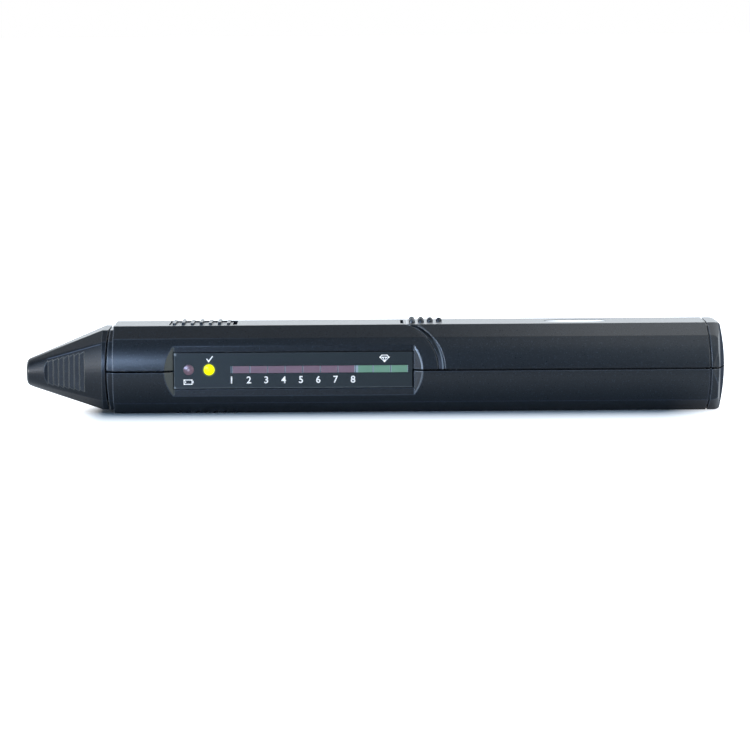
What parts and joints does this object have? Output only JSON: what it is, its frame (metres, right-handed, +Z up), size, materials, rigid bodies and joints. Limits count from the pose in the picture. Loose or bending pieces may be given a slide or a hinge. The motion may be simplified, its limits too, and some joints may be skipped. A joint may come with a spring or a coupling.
{
  "type": "diamond tester",
  "caption": "Handheld heat probe for gem stones with push-on nose cap, lamp panel on one side, power slide and sliding battery lid.",
  "frame": {"origin": "middle of the length and width, at the flat bottom that it lies on", "axes": "+X from the probe tip to the rear end, -Y out of the lamp panel, +Z up"},
  "size_m": [0.2036, 0.0346, 0.0266],
  "materials": {
    "case_plastic": "fine spark-eroded grain",
    "cap_plastic": "fine spark-eroded grain",
    "knob_plastic": "fine spark-eroded grain",
    "panel_plastic": "satin printed panel",
    "red_lamp": "diffused tinted lens, not lit",
    "yellow_lamp": "diffused lens, lit",
    "green_lamp": "diffused tinted lens, not lit",
    "black_plastic": "moulded",
    "board": "solder mask",
    "capacitor": "shrink sleeve",
    "resistor": "lacquer",
    "blue_plastic": "moulded",
    "steel": "plated",
    "spring_steel": "drawn wire",
    "copper": "polished copper",
    "ceramic": "glazed",
    "housing_plastic": "natural nylon",
    "badge_metal": "satin",
    "foam": "open foam",
    "battery_can": "printed metal jacket, left plain",
    "wire": "soft insulation",
    "pale_wire": "soft insulation"
  },
  "bodies": {
    "case": {"lower_shell": "case_plastic", "upper_shell": "case_plastic", "display_panel": "panel_plastic", "low_battery_led": "red_lamp", "ready_led": "yellow_lamp", "red_bar_leds": "red_lamp", "green_bar_leds": "green_lamp", "led_holder": "black_plastic", "main_board": "board", "display_driver_chip": "black_plastic", "amplifier_chip": "black_plastic", "capacitors": "capacitor", "resistors": "resistor", "trim_pot": "blue_plastic", "buzzer": "black_plastic", "power_switch": "steel", "board_screws": "steel", "case_screws": "steel", "probe_housing": "housing_plastic", "probe_sleeve": "steel", "probe_spring": "spring_steel", "housing_plug": "black_plastic", "probe_leads": "pale_wire", "battery": "battery_can", "battery_snap": "black_plastic", "battery_leads": "wire"},
    "cap": {"nose_cap": "cap_plastic"},
    "lid": {"battery_lid": "case_plastic", "oval_badge": "badge_metal", "lid_foam": "foam"},
    "knob": {"switch_knob": "knob_plastic"},
    "probe": {"probe_tip": "copper", "tip_heater": "ceramic"}
  },
  "joints": [
    {"name": "cap_slide", "type": "slide", "parent": "case", "child": "cap", "axis": [-1, 0, 0], "range_m": [0, 0.03]},
    {"name": "lid_slide", "type": "slide", "parent": "case", "child": "lid", "axis": [1, 0, 0], "range_m": [0, 0.1]},
    {"name": "switch_slide", "type": "slide", "parent": "case", "child": "knob", "axis": [1, 0, 0], "range_m": [0, 0.0012]},
    {"name": "probe_plunge", "type": "slide", "parent": "case", "child": "probe", "axis": [1, 0, 0], "range_m": [0, 0.001], "stiffness_N_per_m": 500, "springref_m": -0.0005, "deforming": ["probe_spring"]}
  ]
}
